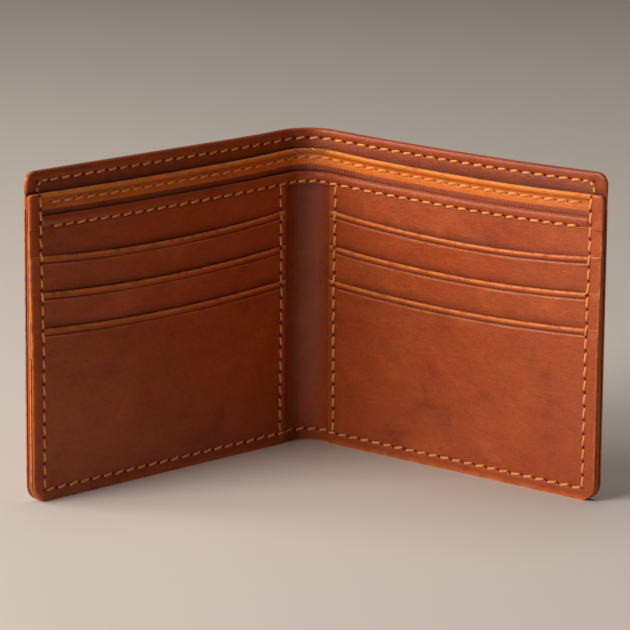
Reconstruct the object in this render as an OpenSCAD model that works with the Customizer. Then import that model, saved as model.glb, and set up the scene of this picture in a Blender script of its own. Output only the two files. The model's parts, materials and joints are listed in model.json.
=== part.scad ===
// Bifold wallet, standing half open on its bottom edges, in millimetres.
// +Z is up, the pockets face -Y, and the origin is under the middle of the whole wallet.
// Each wing is drawn in its own flat frame: u runs from the bend line to the free edge,
// z runs up, and v runs inwards from the middle of the cover leather. The left wing is the
// right wing mirrored. The real spine is one strip of leather that bends; here the cover is
// cut along two bend lines, and the layers inside it cross the spine as flexible strips.

/* [Overall] */
// Height of the cover
wallet_h = 91; // [80:1:110]
// Width of a card slot, from its inner seam to its side seam
slot_w = 90; // [88:0.5:110]
// Angle between the two wings at rest, in degrees
rest_opening = 93.5; // [60:0.5:140]

/* [Spine] */
// Bend radius of the cover's middle surface at rest
spine_r = 10.5; // [8:0.5:18]
// Half the gap left at each bend line of the cover
bend_gap = 0.45; // [0.35:0.05:0.9]
// Distance from the bend's end to the inner edge of the pockets
pocket_setback = 1.5; // [0.5:0.1:4]

/* [Leather and lining] */
// Thickness of the cover leather
cover_t = 0.8; // [0.6:0.05:1.6]
// Thickness of the edge turned over at the top of the cover
hem_t = 0.35; // [0.2:0.05:0.8]
// Thickness of the cover's fabric lining
lining_t = 0.12; // [0.08:0.01:0.4]
// Thickness of the bill divider
divider_t = 0.35; // [0.25:0.05:0.8]
// Thickness of the strip that binds the divider's top edge
binding_t = 0.15; // [0.1:0.01:0.4]
// Thickness of the panel that carries the card pockets
panel_t = 0.3; // [0.25:0.05:0.8]
// Thickness of the band turned over at the panel's top, and of the backing below it
backing_t = 0.3; // [0.25:0.05:0.8]
// Thickness of each card pocket
pocket_t = 0.27; // [0.2:0.01:0.6]
// Thickness of the fabric tail below a card pocket
tail_t = 0.12; // [0.08:0.01:0.2]
// Free space between layers that form a bill compartment
bill_gap = 0.1; // [0.05:0.01:0.5]

/* [Drops below the cover's top edge] */
// To the lower edge of the turned-over hem
hem_drop = 10; // [6:0.5:15]
// To the top of the divider and of the panel's ears
divider_drop = 6; // [3:0.5:10]
// To the top of the panel
panel_drop = 12.2; // [8:0.1:20]
// To the top edge of the first card pocket
pocket_drop = 22.7; // [20:0.1:30]

/* [Card pockets] */
// Step down from one pocket's top edge to the next
pocket_step = 9.95; // [8:0.05:12]
// How far the middle of a pocket's top edge dips
pocket_dip = 1.8; // [0.5:0.1:4]
// How far a pocket's leather runs down behind the next pocket
pocket_lap = 8; // [4:0.5:12]
// Depth of a card slot, from its top edge to the bottom of its tail
slot_depth = 51; // [45:0.5:54]
// Smallest height of a fabric tail's bottom edge above the cover's bottom edge
tail_clear = 5; // [4:0.5:8]

/* [Margins] */
// From the side seam to the free edge
side_margin = 4; // [2.5:0.1:6]
// From the inner seam to the inner edge of the pockets
inner_margin = 1.95; // [1.2:0.05:3]
// From the bottom edge to the bottom seam
bottom_margin = 3.3; // [2.5:0.1:6]
// From a turned top edge to its seam
top_margin = 2.8; // [2:0.05:4]
// Height of the band turned over at the panel's top
band_h = 3.6; // [3:0.1:6]
// Height of the binding strip on the divider
binding_h = 4.5; // [4:0.1:8]
// From the divider's top edge to the binding's seam
binding_margin = 2.6; // [2:0.1:3.5]

/* [Corners] */
// Radius of the bottom corners
bottom_corner_r = 5; // [2:0.5:8]
// Radius of the cover's top corners
top_corner_r = 3.3; // [1:0.1:5]
// Radius of the top corners of the panel's and divider's ears
ear_corner_r = 1.2; // [0.5:0.1:2]

/* [Stitching] */
// Stitch pitch along the horizontal seams
pitch_across = 4.3; // [3:0.1:6]
// Stitch pitch along the upright seams
pitch_up = 3.6; // [3:0.1:6]
// Share of the pitch that each stitch covers
stitch_share = 0.72; // [0.5:0.01:0.85]
// Width of the thread
thread_w = 0.7; // [0.4:0.05:1]
// Height of the thread above the leather
thread_t = 0.2; // [0.1:0.01:0.3]
// Width of the groove that the outer stitches lie in
groove_w = 1.1; // [0.9:0.05:1.6]
// Depth of the groove that the outer stitches lie in
groove_d = 0.3; // [0.25:0.01:0.4]

/* [Hidden] */
$fn = 96;

// Each wing has a top, a middle and a bottom card pocket.
pocket_count = 3;

// Angles: each wing turns by fold from flat, and each bend line sits in the middle of its half arc.
fold = 90 - rest_opening / 2;
bend = fold / 2;
bend_gap_angle = bend_gap / spine_r * 180 / PI;

// Layers, as distances v from the middle of the cover leather.
cover_back = -cover_t / 2;
cover_front = cover_t / 2;
hem_front = cover_front + hem_t;
lining_front = cover_front + lining_t;
binding_back = max(hem_front, lining_front) + bill_gap;
divider_back = binding_back + binding_t;
divider_front = divider_back + divider_t;
binding_front = divider_front + binding_t;
panel_back = binding_front + bill_gap;
panel_front = panel_back + panel_t;
backing_front = panel_front + backing_t;
function pocket_back(i) = backing_front + i * pocket_t;
function pocket_front(i) = pocket_back(i) + pocket_t;

// Heights.
hem_z = wallet_h - hem_drop;
divider_top = wallet_h - divider_drop;
panel_top = wallet_h - panel_drop;
band_z = panel_top - band_h;
function pocket_top(i) = wallet_h - pocket_drop - i * pocket_step;
function pocket_bottom(i) = i == pocket_count - 1 ? 0 : pocket_top(i + 1) - pocket_lap;
function tail_bottom(i) = max(tail_clear, pocket_top(i) - slot_depth);
hem_seam_z = wallet_h - top_margin;
divider_seam_z = divider_top - binding_margin;
panel_seam_z = panel_top - top_margin;

// Places along a wing.
arc_end_u = spine_r * sin(bend);
pocket_u = arc_end_u + pocket_setback;
inner_seam_u = pocket_u + inner_margin;
side_seam_u = inner_seam_u + slot_w;
free_u = side_seam_u + side_margin;

// The foot of each wing, level with its bend line, and the shift that centres the whole wallet.
bend_x = spine_r * sin(bend);
bend_y = -spine_r * (1 - cos(bend));
rise = spine_r * (1 - cos(bend));
foot_x = bend_x + rise * sin(fold);
foot_y = bend_y + rise * cos(fold);
front_y = foot_y - free_u * sin(fold) - pocket_front(pocket_count - 1) * cos(fold);
centre_shift = -(front_y + cover_t / 2) / 2;

module leather() { color([0.50, 0.20, 0.07]) children(); }
module tan_leather() { color([0.76, 0.40, 0.13]) children(); }
module fabric() { color([0.16, 0.09, 0.06]) children(); }
module thread() { color([0.88, 0.55, 0.27]) children(); }

// Places a wing's solids, drawn in (u, z, v), for side "right" or "left".
module wing(side) {
    mirror([side == "left" ? 1 : 0, 0, 0])
        translate([foot_x, foot_y + centre_shift, 0])
            rotate([90, 0, -fold]) children();
}

// Places what is drawn round the spine's bend centre, with 90 degrees straight back.
module spine() {
    translate([0, centre_shift - spine_r, 0]) children();
}

// A band round the spine from angle a0 to a1, measured from straight back, at depth v0 to v1.
module spine_band(a0, a1, v0, v1, z0, z1) {
    rotate([0, 0, 90 - a1])
        rotate_extrude(angle = a1 - a0)
            translate([spine_r - v1, z0]) square([v1 - v0, z1 - z0]);
}

// What a round corner of radius r takes off a square one, with its point at the origin.
module corner_waste(r) {
    difference() {
        translate([-r, -r]) square([r + 1, r + 1]);
        translate([-r, -r]) circle(r);
    }
}

// A flat sheet from u0 to u1 and z0 to z1, with its free corners rounded.
module sheet_outline(u0, u1, z0, z1, r_low, r_high) {
    difference() {
        translate([u0, z0]) square([u1 - u0, z1 - z0]);
        if (r_low > 0) translate([u1, z0]) mirror([0, 1]) corner_waste(r_low);
        if (r_high > 0) translate([u1, z1]) corner_waste(r_high);
    }
}

module layer(v0, v1) {
    translate([0, 0, v0]) linear_extrude(v1 - v0) children();
}

// Half a layer that follows the cover: a flat sheet and the part of the bend that rides with it.
module bent_sheet(side, v0, v1, z0, z1, r_high, gap_angle) {
    wing(side) layer(v0, v1) sheet_outline(arc_end_u, free_u, z0, z1, bottom_corner_r, r_high);
    mirror([side == "left" ? 1 : 0, 0, 0])
        spine() spine_band(bend + gap_angle, fold, v0, v1, z0, z1);
}

// ---- cover ----

// A level groove in the cover's outer face at height z, from the arc's end to the side seam.
module groove_across(z) {
    translate([arc_end_u, z - groove_w / 2, cover_back - 1])
        cube([side_seam_u + groove_w / 2 - arc_end_u, groove_w, groove_d + 1]);
}

// The upright groove along the side seam, from z0 to z1.
module groove_up(z0, z1) {
    translate([side_seam_u - groove_w / 2, z0, cover_back - 1])
        cube([groove_w, z1 - z0, groove_d + 1]);
}

module cover(side) {
    leather() {
        difference() {
            bent_sheet(side, cover_back, cover_front, 0, wallet_h, top_corner_r, bend_gap_angle);
            wing(side) {
                groove_across(bottom_margin);
                groove_across(hem_seam_z);
                groove_up(bottom_margin, hem_seam_z);
            }
            mirror([side == "left" ? 1 : 0, 0, 0]) spine() spine_grooves(0, fold);
        }
        hem(side);
    }
}

// The top edge of the cover, turned over to the inside. It starts inside the leather it is part of.
module hem(side) {
    wing(side) layer(0, hem_front)
        sheet_outline(arc_end_u, free_u, hem_z, wallet_h, 0, top_corner_r);
    mirror([side == "left" ? 1 : 0, 0, 0])
        spine() spine_band(bend + bend_gap_angle * 2, fold, 0, hem_front, hem_z, wallet_h);
}

module spine_grooves(a0, a1) {
    for (z = [bottom_margin, hem_seam_z])
        spine_band(a0, a1, cover_back - 1, cover_back + groove_d, z - groove_w / 2, z + groove_w / 2);
}

module spine_cover() {
    half = bend - bend_gap_angle;
    hem_half = bend - 2 * bend_gap_angle;
    leather() spine() {
        difference() {
            spine_band(-half, half, cover_back, cover_front, 0, wallet_h);
            spine_grooves(-half - 1, half + 1);
        }
        spine_band(-hem_half, hem_half, 0, hem_front, hem_z, wallet_h);
    }
}

// The lining stops where the cover's turned hem begins.
module lining(side) {
    fabric() bent_sheet(side, cover_front, lining_front, 0, hem_z, 0, bend_gap_angle * 2);
}

module spine_lining() {
    half = bend - 2 * bend_gap_angle;
    fabric() spine() spine_band(-half, half, cover_front, lining_front, 0, hem_z);
}

// ---- bill divider ----

module divider(side) {
    leather() wing(side) layer(divider_back, divider_front) {
        sheet_outline(arc_end_u, free_u, 0, divider_top - binding_t, bottom_corner_r, ear_corner_r);
    }
}

module spine_divider() {
    leather() spine()
        spine_band(-fold, fold, divider_back, divider_front, 0, divider_top - binding_t);
}

// A thin strip folded over the divider's top edge, from the spine to the side seam's ears.
module divider_binding(side) {
    low = divider_top - binding_h;
    length = side_seam_u - thread_w - arc_end_u;
    tan_leather() wing(side) translate([arc_end_u, 0, 0]) {
        translate([0, low, binding_back]) cube([length, binding_h, binding_t]);
        translate([0, low, divider_front]) cube([length, binding_h, binding_t]);
        translate([0, divider_top - binding_t, binding_back])
            cube([length, binding_t, binding_front - binding_back]);
    }
}

module spine_divider_binding() {
    low = divider_top - binding_h;
    tan_leather() spine() {
        spine_band(-fold, fold, binding_back, divider_back, low, divider_top);
        spine_band(-fold, fold, divider_front, binding_front, low, divider_top);
        spine_band(-fold, fold, binding_back, binding_front, divider_top - binding_t, divider_top);
    }
}

// ---- pocket panel and card pockets ----

// The panel is cut lower between the seams, and keeps an ear along the free edge. Its top is
// turned over to the front in a band.
module pocket_panel(side) {
    leather() wing(side) {
        layer(panel_back, panel_front) {
            sheet_outline(arc_end_u, free_u, 0, panel_top, bottom_corner_r, 0);
            panel_ear(panel_top - 1);
        }
        layer(panel_back, backing_front) {
            translate([arc_end_u, band_z]) square([side_seam_u - arc_end_u, band_h]);
            panel_ear(band_z);
        }
    }
}

module panel_ear(z) {
    sheet_outline(side_seam_u - thread_w / 2, free_u, z, divider_top, 0, ear_corner_r);
}

module spine_pocket_panel() {
    leather() spine() {
        spine_band(-fold, fold, panel_back, panel_front, 0, panel_top);
        spine_band(-fold, fold, panel_back, backing_front, band_z, panel_top);
    }
}

// The leather behind the card pockets of one wing, between the pockets and the panel.
module pocket_backing(side) {
    leather() wing(side) layer(panel_front, backing_front)
        sheet_outline(pocket_u, free_u, 0, band_z, bottom_corner_r, 0);
}

// The top edge of a card pocket is a shallow arc that dips between the seams.
module pocket_outline(i) {
    span = free_u - pocket_u;
    dip_r = span * span / (8 * pocket_dip) + pocket_dip / 2;
    difference() {
        sheet_outline(pocket_u, free_u, pocket_bottom(i), pocket_top(i),
                      i == pocket_count - 1 ? bottom_corner_r : 0, 0);
        translate([pocket_u + span / 2, pocket_top(i) - pocket_dip + dip_r]) circle(dip_r, $fn = 720);
    }
}

module card_pocket(side, i) {
    leather() wing(side) layer(pocket_back(i), pocket_front(i)) pocket_outline(i);
}

// The fabric tail sewn to the bottom of a card pocket, which holds the foot of the card.
module pocket_tail(side, i) {
    low = tail_bottom(i);
    fabric() wing(side)
        translate([inner_seam_u, low, pocket_back(i)])
            cube([slot_w, pocket_bottom(i) - low, tail_t]);
}

// ---- stitching ----

// Number of stitches of a pitch that fit a length.
function stitch_count(length, pitch) = max(1, floor(length / pitch + 0.01));

// How far forward the inside of a wing stands at height z, outside the dip of the pocket edges.
function front_at(z) =
    z > divider_top ? hem_front :
    z > pocket_top(0) ? backing_front :
    z > pocket_top(1) ? pocket_front(0) :
    z > pocket_top(2) ? pocket_front(1) : pocket_front(2);

// A row of stitches across a wing at height z, lying on depth v, from u0 to u1.
module row_across(z, v, u0, u1) {
    n = stitch_count(u1 - u0, pitch_across);
    step = (u1 - u0) / n;
    long = step * stitch_share;
    for (i = [0 : n - 1])
        translate([u0 + (i + 0.5) * step - long / 2, z - thread_w / 2, v])
            cube([long, thread_w, thread_t]);
}

// One upright stitch from z0 to z1, lying on whatever stands furthest forward along it.
module upright_stitch(u, z0, z1, v) {
    translate([u - thread_w / 2, z0, v]) cube([thread_w, z1 - z0, thread_t]);
}

// A row of stitches up a wing at u from z0 to z1, on the inside.
module row_up_inside(u, z0, z1) {
    n = stitch_count(z1 - z0, pitch_up);
    step = (z1 - z0) / n;
    long = step * stitch_share;
    for (i = [0 : n - 1]) {
        low = z0 + (i + 0.5) * step - long / 2;
        upright_stitch(u, low, low + long, front_at(low));
    }
}

// The same row on the outside, sunk in its groove.
module row_up_outside(u, z0, z1) {
    n = stitch_count(z1 - z0, pitch_up);
    step = (z1 - z0) / n;
    long = step * stitch_share;
    for (i = [0 : n - 1]) {
        low = z0 + (i + 0.5) * step - long / 2;
        upright_stitch(u, low, low + long, cover_back + groove_d - thread_t);
    }
}

// A row of stitches round the spine at height z, from depth v0 to v1.
module row_round_spine(z, v0, v1, half_angle) {
    n = stitch_count(2 * half_angle * PI / 180 * spine_r, pitch_across);
    step = 2 * half_angle / n;
    for (i = [0 : n - 1]) {
        mid = -half_angle + (i + 0.5) * step;
        spine_band(mid - step * stitch_share / 2, mid + step * stitch_share / 2,
                   v0, v1, z - thread_w / 2, z + thread_w / 2);
    }
}

groove_floor = cover_back + groove_d;
row_start_u = arc_end_u + 0.4;
row_end_u = side_seam_u - thread_w;

// The seam that holds every layer together, down the free edge and along the bottom.
module perimeter_thread(side) {
    thread() wing(side) {
        row_across(bottom_margin, panel_front, row_start_u, pocket_u);
        row_across(bottom_margin, front_at(bottom_margin), pocket_u, row_end_u);
        row_up_inside(side_seam_u, bottom_margin, divider_top);
        row_across(bottom_margin, groove_floor - thread_t, row_start_u, row_end_u);
        row_up_outside(side_seam_u, bottom_margin, divider_top);
    }
}

module spine_perimeter_thread() {
    thread() spine() {
        row_round_spine(bottom_margin, panel_front, panel_front + thread_t, fold);
        row_round_spine(bottom_margin, cover_back + groove_d - thread_t, groove_floor, bend - 3);
    }
}

// The seam along the turned top edge of the cover.
module hem_thread(side) {
    thread() wing(side) {
        row_across(hem_seam_z, hem_front, row_start_u, row_end_u);
        row_up_inside(side_seam_u, divider_top, hem_seam_z);
        row_across(hem_seam_z, groove_floor - thread_t, row_start_u, row_end_u);
        row_up_outside(side_seam_u, divider_top, hem_seam_z);
    }
}

module spine_hem_thread() {
    thread() spine() {
        row_round_spine(hem_seam_z, hem_front, hem_front + thread_t, bend - 5);
        row_round_spine(hem_seam_z, groove_floor - thread_t, groove_floor, bend - 3);
    }
}

module divider_thread(side) {
    thread() wing(side) row_across(divider_seam_z, binding_front, row_start_u, row_end_u);
}

module spine_divider_thread() {
    thread() spine()
        row_round_spine(divider_seam_z, binding_front, binding_front + thread_t, fold);
}

module panel_thread(side) {
    thread() wing(side) row_across(panel_seam_z, backing_front, row_start_u, row_end_u);
}

module spine_panel_thread() {
    thread() spine() row_round_spine(panel_seam_z, backing_front, backing_front + thread_t, fold);
}

// The seam that holds the pockets to the panel beside the spine; it misses the cover.
module pocket_thread(side) {
    thread() wing(side)
        row_up_inside(inner_seam_u, bottom_margin + thread_w, panel_seam_z - thread_w);
}

// ---- nodes ----

for (side = ["left", "right"]) {
    cover(side);
    lining(side);
    divider(side);
    divider_binding(side);
    pocket_panel(side);
    pocket_backing(side);
    card_pocket(side, 0);
    card_pocket(side, 1);
    card_pocket(side, 2);
    pocket_tail(side, 0);
    pocket_tail(side, 1);
    perimeter_thread(side);
    hem_thread(side);
    divider_thread(side);
    panel_thread(side);
    pocket_thread(side);
}
spine_cover();
spine_lining();
spine_divider();
spine_divider_binding();
spine_pocket_panel();
spine_perimeter_thread();
spine_hem_thread();
spine_divider_thread();
spine_panel_thread();
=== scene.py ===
"""A bifold wallet in waxed leather, standing half open: covers, bill divider, pocket panels,
card pockets and all their stitching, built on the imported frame.

Every leather or fabric layer is worked out flat, as a maker cuts it, in three lengths:
  s  along the cover's middle, from the spine's centre line to the free edge,
  z  up from the bottom edge,
  v  inwards from the middle of the cover leather.
lay() then bends it round the spine. Lengths are in millimetres until a mesh is made.
"""
import json
import math

import bpy
import numpy as np
from mathutils import Matrix, Vector


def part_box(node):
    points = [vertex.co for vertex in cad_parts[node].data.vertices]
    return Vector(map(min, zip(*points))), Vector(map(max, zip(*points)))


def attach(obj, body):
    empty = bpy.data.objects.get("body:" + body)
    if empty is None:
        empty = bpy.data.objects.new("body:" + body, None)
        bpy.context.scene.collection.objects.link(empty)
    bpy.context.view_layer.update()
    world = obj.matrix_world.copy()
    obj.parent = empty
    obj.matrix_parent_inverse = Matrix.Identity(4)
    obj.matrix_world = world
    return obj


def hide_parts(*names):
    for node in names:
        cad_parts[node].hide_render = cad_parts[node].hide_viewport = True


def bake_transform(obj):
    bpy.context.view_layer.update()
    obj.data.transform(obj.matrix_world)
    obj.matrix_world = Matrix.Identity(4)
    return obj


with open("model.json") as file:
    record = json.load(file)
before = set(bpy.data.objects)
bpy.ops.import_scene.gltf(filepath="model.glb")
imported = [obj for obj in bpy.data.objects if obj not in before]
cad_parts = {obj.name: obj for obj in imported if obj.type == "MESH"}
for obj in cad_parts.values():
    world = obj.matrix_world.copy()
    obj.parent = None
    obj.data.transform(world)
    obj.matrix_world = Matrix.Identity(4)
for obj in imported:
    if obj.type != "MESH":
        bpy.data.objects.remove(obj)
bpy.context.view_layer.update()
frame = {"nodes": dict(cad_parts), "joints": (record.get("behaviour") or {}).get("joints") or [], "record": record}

# ---------------------------------------------------------------- sizes, from the frame

MM = 0.001
SIDES = {"left": -1.0, "right": 1.0}
MOUNTS = {m["name"]: m for m in frame["record"]["mounts"]}
JOINTS = {j["name"]: j for j in frame["joints"]}

FOLD = math.atan2(MOUNTS["right_outer_face"]["axis"][0], MOUNTS["right_outer_face"]["axis"][1])
BEND = FOLD / 2
HINGE = np.array(JOINTS["right_fold"]["pos_m"][:2]) / MM
RADIUS = HINGE[0] / math.sin(BEND)
CENTRE_Y = HINGE[1] - RADIUS * math.cos(BEND)
ARC_S = RADIUS * FOLD
OUTWARD = np.array([math.sin(FOLD), math.cos(FOLD)])
ALONG = np.array([math.cos(FOLD), -math.sin(FOLD)])
ARC_END = np.array([RADIUS * math.sin(FOLD), CENTRE_Y + RADIUS * math.cos(FOLD)])


def wing_box(node):
    """Lowest and highest (s, z, v) of a right-hand node's flat part: its corners measured
    along the wing, up, and inwards from the middle of the cover."""
    points = np.array([v.co for v in frame["nodes"][node].data.vertices]) / MM
    away = points[:, :2] - ARC_END
    s, v = ARC_S + away @ ALONG, -(away @ OUTWARD)
    flat = s > ARC_S + 0.5
    box = np.stack([s, points[:, 2], v], 1)[flat]
    return box.min(0), box.max(0)


COVER = wing_box("right_cover")
LINING = wing_box("right_lining")
DIVIDER = wing_box("right_divider")
BINDING = wing_box("right_divider_binding")
PANEL = wing_box("right_pocket_panel")
BACKING = wing_box("right_pocket_backing")
POCKETS = [wing_box(f"right_{n}_pocket") for n in ("top", "middle", "bottom")]
TAILS = [wing_box(f"right_{n}_pocket_tail") for n in ("top", "middle")]

HEIGHT = COVER[1][1]
FREE = COVER[1][0]
COVER_BACK, COVER_FRONT, HEM_FRONT = COVER[0][2], LINING[0][2], COVER[1][2]
HEM_Z = LINING[1][1]
POCKET_S = POCKETS[0][0][0]
INNER_S, SIDE_S = TAILS[0][0][0], TAILS[0][1][0]
PANEL_BACK, PANEL_FRONT, BAND_FRONT = PANEL[0][2], BACKING[0][2], BACKING[1][2]
BAND_Z = BACKING[1][1]
EAR_TOP = BINDING[1][1]
PANEL_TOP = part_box("spine_pocket_panel")[1][2] / MM
POCKET_TOPS = [p[1][1] for p in POCKETS]
POCKET_FRONTS = [p[1][2] for p in POCKETS]


def seam_height(node):
    """Height of the middle of a level row of stitches."""
    low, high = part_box(node)
    return (low[2] + high[2]) / 2 / MM


DIVIDER_SEAM_Z = seam_height("right_divider_thread")
PANEL_SEAM_Z = seam_height("right_panel_thread")
THREAD_W = (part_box("right_panel_thread")[1][2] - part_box("right_panel_thread")[0][2]) / MM
BOTTOM_SEAM_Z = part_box("right_perimeter_thread")[0][2] / MM + THREAD_W / 2
HEM_SEAM_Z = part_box("right_hem_thread")[1][2] / MM - THREAD_W / 2

BOTTOM_CORNER, TOP_CORNER, EAR_CORNER = 5.0, 3.3, 1.2
POCKET_DIP = 1.8
BEAD = 1.55                      # height of the rolled bead on a pocket's top edge
CREASE = 1.95                    # from a pocket's top edge to the creased line below its bead
MOUTH = (0.42, 0.38, 0.16)       # how far each pocket's mouth stands off, from the top one down
SIDE_WELT, INNER_WELT = 0.24, 0.22   # swell of the margins beyond the side and inner seams
ROLL = 0.7                       # height of the round top of the divider's binding
FLUSH = 0.05                     # rim radius of an edge that lies flush in the stack
FULL_RIM = 0.3                   # rim radius from which an edge is rounded to its full depth


# ---------------------------------------------------------------- how the leather hangs

def ease(x, a, b):
    """0 below a, 1 above b, and a smooth step in between."""
    t = np.clip((x - a) / (b - a), 0, 1)
    return t * t * (3 - 2 * t)


# For each group of layers: how far its top rises at the spine, how far it sags along the left
# and along the right wing, and its share of the inward swell beside the spine.
HANG = {
    "cover": {"rise": 0.45, "sag": {"left": -0.05, "right": 0.45}, "swell": 0.0},
    "divider": {"rise": 0.8, "sag": {"left": 0.45, "right": 0.95}, "swell": 0.45},
    "panel": {"rise": 0.5, "sag": {"left": 0.5, "right": 0.9}, "swell": 0.9},
}


SAG_FROM = 12                    # where along s a wing's sag begins
RISE_WIDTH = 16                  # width of the bump at the spine
LIFTED = (35, 78)                # heights between which the rise and sag come in
SWOLLEN = (8, 48)                # places along s between which the inward swell dies out


def hang(side, group, s, z, v):
    """The flat point after the leather has hung: its height changes towards the top by a bump at
    the spine less half a sine wave along the wing, and it leans inwards near the spine."""
    h = HANG[group]
    share = np.clip((s - SAG_FROM) / (FREE - SAG_FROM), 0, 1)
    lift = (h["rise"] * np.exp(-(s / RISE_WIDTH) ** 2)
            - h["sag"][side] * np.sin(np.pi * share ** 1.25))
    z = z + lift * ease(z, *LIFTED)
    v = v + h["swell"] * (np.clip(z, 0, HEIGHT) / HEIGHT) ** 1.5 * (1 - ease(s, *SWOLLEN))
    return z, v


def lay(side, group, s, z, v):
    """Flat points (s, z, v) laid round the spine: an arc about the bend's centre as far as the
    arc's end, then straight along the wing."""
    z, v = hang(side, group, s, z, v)
    angle = np.clip(s, 0, ARC_S) / RADIUS
    beyond = np.maximum(s - ARC_S, 0)
    r = RADIUS - v
    x = r * np.sin(angle) + beyond * math.cos(FOLD)
    y = CENTRE_Y + r * np.cos(angle) - beyond * math.sin(FOLD)
    return np.stack([SIDES[side] * x, y, z], -1)


# ---------------------------------------------------------------- meshes

def make_object(name, points, quads, tris=None, facts=None, vectors=None, sharp=None):
    """A mesh object from arrays: points in millimetres, faces as index rows. The faces are
    turned outwards by the sign of the volume that they enclose."""
    points = np.asarray(points, float) * MM
    quads = np.asarray(quads, np.int64).reshape(-1, 4)
    tris = np.zeros((0, 3), np.int64) if tris is None else np.asarray(tris, np.int64)
    halves = np.concatenate([quads[:, [0, 1, 2]], quads[:, [0, 2, 3]], tris])
    a, b, c = (points[halves[:, k]] for k in range(3))
    if np.einsum("ij,ij->i", a, np.cross(b, c)).sum() < 0:
        quads, tris = quads[:, ::-1], tris[:, ::-1]
    mesh = bpy.data.meshes.new(name)
    mesh.vertices.add(len(points))
    mesh.vertices.foreach_set("co", points.astype(np.float32).ravel())
    corners = np.concatenate([quads.ravel(), tris.ravel()]).astype(np.int32)
    mesh.loops.add(len(corners))
    mesh.loops.foreach_set("vertex_index", corners)
    sizes = np.concatenate([np.full(len(quads), 4), np.full(len(tris), 3)])
    starts = np.concatenate([[0], np.cumsum(sizes)[:-1]]).astype(np.int32)
    mesh.polygons.add(len(sizes))
    mesh.polygons.foreach_set("loop_start", starts)
    mesh.update(calc_edges=True)
    mesh.validate()
    mesh.polygons.foreach_set("use_smooth", np.ones(len(mesh.polygons), bool))
    for key, values in (facts or {}).items():
        layer = mesh.attributes.new(key, "FLOAT", "POINT")
        layer.data.foreach_set("value", np.asarray(values, np.float32).ravel())
    for key, values in (vectors or {}).items():
        layer = mesh.attributes.new(key, "FLOAT_VECTOR", "POINT")
        layer.data.foreach_set("vector", np.asarray(values, np.float32).ravel())
    if sharp is not None:
        ends = np.zeros(len(mesh.edges) * 2, np.int32)
        mesh.edges.foreach_get("vertices", ends)
        ends = ends.reshape(-1, 2)
        layer = mesh.attributes.new("sharp_edge", "BOOLEAN", "EDGE")
        layer.data.foreach_set("value", sharp[ends[:, 0]] & sharp[ends[:, 1]])
    made = bpy.data.objects.new(name, mesh)
    bpy.context.scene.collection.objects.link(made)
    return made


def grid_faces(rows, columns, start=0):
    """Index quads of a rows x columns grid of points."""
    i, j = np.meshgrid(np.arange(rows - 1), np.arange(columns - 1), indexing="ij")
    k = start + i * columns + j
    return np.stack([k, k + columns, k + columns + 1, k + 1], -1).reshape(-1, 4)


def wall_faces(front, back):
    """Quads that join two lines of points with the same number of points."""
    return np.stack([front[:-1], front[1:], back[1:], back[:-1]], -1)


def shell(name, side, group, outer, inner, facts, square_start):
    """A closed shell of two grids with the same shape, outer and inner, each (s, z, v), whose
    four borders are joined by strips of quads. A square start keeps the cut at s = 0 sharp."""
    rows, columns = outer[0].shape
    count = rows * columns
    points = [lay(side, group, *grid).reshape(-1, 3) for grid in (outer, inner)]
    index = np.arange(count).reshape(rows, columns)
    faces = [grid_faces(rows, columns), grid_faces(rows, columns, count)[:, ::-1]]
    for line, turn in ((index[0], 1), (index[-1], -1), (index[:, 0], -1), (index[:, -1], 1)):
        faces.append(wall_faces(line, line + count)[:, ::turn])
    flat = [np.stack([SIDES[side] * g[0], g[1], g[2]], -1).reshape(-1, 3) * MM
            for g in (outer, inner)]
    sharp = None
    if square_start:
        sharp = np.zeros(2 * count, bool)
        sharp[index[0]] = sharp[index[0] + count] = True
    return make_object(
        name, np.concatenate(points), np.concatenate(faces),
        facts={k: np.concatenate([np.ravel(f) for f in v]) for k, v in facts.items()
               if k != "stitch"},
        vectors={"flat": np.concatenate(flat),
                 "stitch": np.concatenate([f.reshape(-1, 3) for f in facts["stitch"]])},
        sharp=sharp)


def lines(low, high, step, *finer):
    """Sorted values from low to high no further apart than step, with the finer values added
    where they fall inside, and near doubles dropped."""
    count = max(1, int(math.ceil((high - low) / step)))
    coarse = np.linspace(low, high, count + 1)
    fine = np.concatenate([np.zeros(0), *[np.ravel(f) for f in finer]])
    fine = np.unique(np.round(fine[(fine > low + 0.015) & (fine < high - 0.015)], 4))
    if len(fine):
        near = np.abs(coarse[:, None] - fine[None, :]).min(1)
        coarse = coarse[(near > step * 0.35) | (coarse == low) | (coarse == high)]
        fine = fine[np.concatenate([[True], np.diff(fine) > 0.02])]
    return np.unique(np.concatenate([coarse, fine]))


# Extra grid lines, in millimetres: from a cut edge, from the free edge with its round corners,
# either side of a needle hole, and from the spine's centre line.
EDGE = np.array([0.025, 0.07, 0.13, 0.2, 0.3, 0.45, 0.65, 0.95, 1.4])
CORNER = np.array([0.02, 0.06, 0.12, 0.2, 0.3, 0.45, 0.7, 1.1, 1.6, 2.3, 3.2, 4.2])
AROUND_HOLE = np.array([-0.75, -0.45, -0.22, 0.0, 0.22, 0.45, 0.75])
START = np.array([0.02, 0.06, 0.15, 0.35])


# ---------------------------------------------------------------- seams

def holes_between(a, b, pitch):
    """Evenly spaced needle holes from a to b, at the spacing nearest to pitch."""
    return np.linspace(a, b, max(1, int(round(abs(b - a) / pitch))) + 1)


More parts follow.
